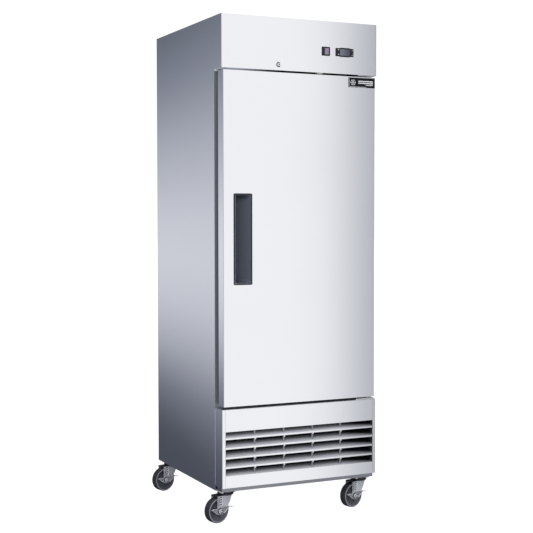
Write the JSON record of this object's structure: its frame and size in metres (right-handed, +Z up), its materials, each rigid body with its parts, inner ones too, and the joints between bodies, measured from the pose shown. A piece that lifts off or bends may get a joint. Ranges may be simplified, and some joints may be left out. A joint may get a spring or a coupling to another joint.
{
  "type": "reach-in refrigerator",
  "caption": "Upright commercial refrigerator with a solid steel door, recessed pull, header controls, louvred base and swivel casters.",
  "frame": {"origin": "on the floor, under the middle of the cabinet", "axes": "+X is the right side seen from the front, the door faces -Y, +Z is up"},
  "size_m": [0.808, 0.7461, 2.02],
  "materials": {
    "front_steel": "fine vertical brushed stainless, satin",
    "side_steel": "brushed stainless, satin",
    "galvanised": "galvanised sheet, dull",
    "insulation": "foamed in place, unseen",
    "liner_sheet": "stucco aluminium, satin",
    "breaker_plastic": "light moulded plastic",
    "louvre_steel": "bent stainless sheet",
    "bracket_steel": "plain bright steel",
    "shelf_coat": "epoxy coated wire, gloss",
    "coil_fins": "bare fins",
    "motor_paint": "dark paint",
    "lamp": "milky lamp cover",
    "black_paint": "black enamel",
    "copper_tube": "copper tube",
    "cord_rubber": "black cord",
    "black_gloss": "black, satin to gloss",
    "lit_switch": "translucent, lit from behind",
    "lock_chrome": "bright plate",
    "gasket_vinyl": "dark grey vinyl",
    "handle_plastic": "dark grey moulded plastic",
    "fan_plastic": "black moulded blades",
    "caster_zinc": "bright zinc plated pressings",
    "caster_tread": "dark rubber on a grey hub"
  },
  "bodies": {
    "cabinet": {"outer_wrapper": "side_steel", "back_panel": "galvanised", "header_hood": "front_steel", "cabinet_foam": "insulation", "inner_liner": "liner_sheet", "breaker_frame": "breaker_plastic", "base_frame": "galvanised", "grille_panel": "front_steel", "louvre_blades": "louvre_steel", "shelf_pilasters": "bracket_steel", "shelf_clips": "bracket_steel", "evaporator_cover": "liner_sheet", "evaporator_coil": "coil_fins", "evaporator_fan_motor": "motor_paint", "interior_light": "lamp", "condensing_tray": "galvanised", "compressor": "black_paint", "condenser_coil": "black_paint", "fan_shroud": "motor_paint", "condenser_fan_motor": "motor_paint", "refrigerant_lines": "copper_tube", "power_cord": "cord_rubber", "controller_case": "black_gloss", "display_lens": "black_gloss", "switch_bezel": "black_gloss", "lock_barrel": "lock_chrome", "door_sensor": "breaker_plastic", "hinge_brackets": "bracket_steel", "caster_plates": "caster_zinc", "screws": "bracket_steel"},
    "door": {"door_skin": "front_steel", "door_foam": "insulation", "door_liner": "liner_sheet", "door_gasket": "gasket_vinyl", "handle_pocket": "handle_plastic", "badge_plate": "black_gloss", "hinge_bushes": "breaker_plastic"},
    "switch_rocker": {"rocker": "lit_switch"},
    "control_key_1": {"key_1": "black_gloss"},
    "control_key_2": {"key_2": "black_gloss"},
    "control_key_3": {"key_3": "black_gloss"},
    "control_key_4": {"key_4": "black_gloss"},
    "lock_plug": {"lock_cylinder": "lock_chrome"},
    "cold_fan": {"evaporator_fan": "fan_plastic"},
    "warm_fan": {"condenser_fan": "fan_plastic"},
    "wire_shelf_1": {"shelf_1": "shelf_coat"},
    "wire_shelf_2": {"shelf_2": "shelf_coat"},
    "wire_shelf_3": {"shelf_3": "shelf_coat"},
    "caster_fl": {"fork_fl": "caster_zinc"},
    "roller_fl": {"wheel_fl": "caster_tread"},
    "brake_lever_fl": {"brake_fl": "caster_zinc"},
    "caster_fr": {"fork_fr": "caster_zinc"},
    "roller_fr": {"wheel_fr": "caster_tread"},
    "brake_lever_fr": {"brake_fr": "caster_zinc"},
    "caster_rl": {"fork_rl": "caster_zinc"},
    "roller_rl": {"wheel_rl": "caster_tread"},
    "brake_lever_rl": {"brake_rl": "caster_zinc"},
    "caster_rr": {"fork_rr": "caster_zinc"},
    "roller_rr": {"wheel_rr": "caster_tread"},
    "brake_lever_rr": {"brake_rr": "caster_zinc"}
  },
  "joints": [
    {"name": "door_hinge", "type": "hinge", "parent": "cabinet", "child": "door", "pos_m": [0.323, -0.345, 1.138], "axis": [0, 0, 1], "range_deg": [0, 120]},
    {"name": "switch_rock", "type": "hinge", "parent": "cabinet", "child": "switch_rocker", "pos_m": [0.1164, -0.3645, 1.898], "axis": [0, 0, 1], "range_deg": [0, 14]},
    {"name": "key_1_press", "type": "slide", "parent": "cabinet", "child": "control_key_1", "axis": [0, 1, 0], "range_m": [0, 0.0008]},
    {"name": "key_2_press", "type": "slide", "parent": "cabinet", "child": "control_key_2", "axis": [0, 1, 0], "range_m": [0, 0.0008]},
    {"name": "key_3_press", "type": "slide", "parent": "cabinet", "child": "control_key_3", "axis": [0, 1, 0], "range_m": [0, 0.0008]},
    {"name": "key_4_press", "type": "slide", "parent": "cabinet", "child": "control_key_4", "axis": [0, 1, 0], "range_m": [0, 0.0008]},
    {"name": "lock_turn", "type": "hinge", "parent": "cabinet", "child": "lock_plug", "pos_m": [-0.102, -0.36, 1.8325], "axis": [0, -1, 0], "range_deg": [0, 90]},
    {"name": "cold_fan_spin", "type": "hinge", "parent": "cabinet", "child": "cold_fan", "pos_m": [0, -0.095, 1.814], "axis": [0, 0, 1], "continuous": true},
    {"name": "warm_fan_spin", "type": "hinge", "parent": "cabinet", "child": "warm_fan", "pos_m": [0, -0.219, 0.3], "axis": [0, 1, 0], "continuous": true},
    {"name": "shelf_1_lift", "type": "slide", "parent": "cabinet", "child": "wire_shelf_1", "axis": [0, 0, 1], "range_m": [0, 0.025]},
    {"name": "shelf_2_lift", "type": "slide", "parent": "cabinet", "child": "wire_shelf_2", "axis": [0, 0, 1], "range_m": [0, 0.025]},
    {"name": "shelf_3_lift", "type": "slide", "parent": "cabinet", "child": "wire_shelf_3", "axis": [0, 0, 1], "range_m": [0, 0.025]},
    {"name": "swivel_fl", "type": "hinge", "parent": "cabinet", "child": "caster_fl", "pos_m": [-0.308, -0.302, 0.11], "axis": [0, 0, 1], "continuous": true},
    {"name": "roll_fl", "type": "hinge", "parent": "caster_fl", "child": "roller_fl", "pos_m": [-0.35147, -0.31365, 0.051], "axis": [-0.2588, 0.9659, 0], "continuous": true},
    {"name": "brake_fl_press", "type": "hinge", "parent": "caster_fl", "child": "brake_lever_fl", "pos_m": [-0.35147, -0.31365, 0.051], "axis": [-0.2588, 0.9659, 0], "range_deg": [0, 18]},
    {"name": "swivel_fr", "type": "hinge", "parent": "cabinet", "child": "caster_fr", "pos_m": [0.308, -0.302, 0.11], "axis": [0, 0, 1], "continuous": true},
    {"name": "roll_fr", "type": "hinge", "parent": "caster_fr", "child": "roller_fr", "pos_m": [0.26453, -0.31365, 0.051], "axis": [-0.2588, 0.9659, 0], "continuous": true},
    {"name": "brake_fr_press", "type": "hinge", "parent": "caster_fr", "child": "brake_lever_fr", "pos_m": [0.26453, -0.31365, 0.051], "axis": [-0.2588, 0.9659, 0], "range_deg": [0, 18]},
    {"name": "swivel_rl", "type": "hinge", "parent": "cabinet", "child": "caster_rl", "pos_m": [-0.308, 0.318, 0.11], "axis": [0, 0, 1], "continuous": true},
    {"name": "roll_rl", "type": "hinge", "parent": "caster_rl", "child": "roller_rl", "pos_m": [-0.35147, 0.30635, 0.051], "axis": [-0.2588, 0.9659, 0], "continuous": true},
    {"name": "brake_rl_press", "type": "hinge", "parent": "caster_rl", "child": "brake_lever_rl", "pos_m": [-0.35147, 0.30635, 0.051], "axis": [-0.2588, 0.9659, 0], "range_deg": [0, 18]},
    {"name": "swivel_rr", "type": "hinge", "parent": "cabinet", "child": "caster_rr", "pos_m": [0.308, 0.318, 0.11], "axis": [0, 0, 1], "continuous": true},
    {"name": "roll_rr", "type": "hinge", "parent": "caster_rr", "child": "roller_rr", "pos_m": [0.35147, 0.32965, 0.051], "axis": [0.2588, -0.9659, 0], "continuous": true},
    {"name": "brake_rr_press", "type": "hinge", "parent": "caster_rr", "child": "brake_lever_rr", "pos_m": [0.35147, 0.32965, 0.051], "axis": [0.2588, -0.9659, 0], "range_deg": [0, 18]}
  ]
}
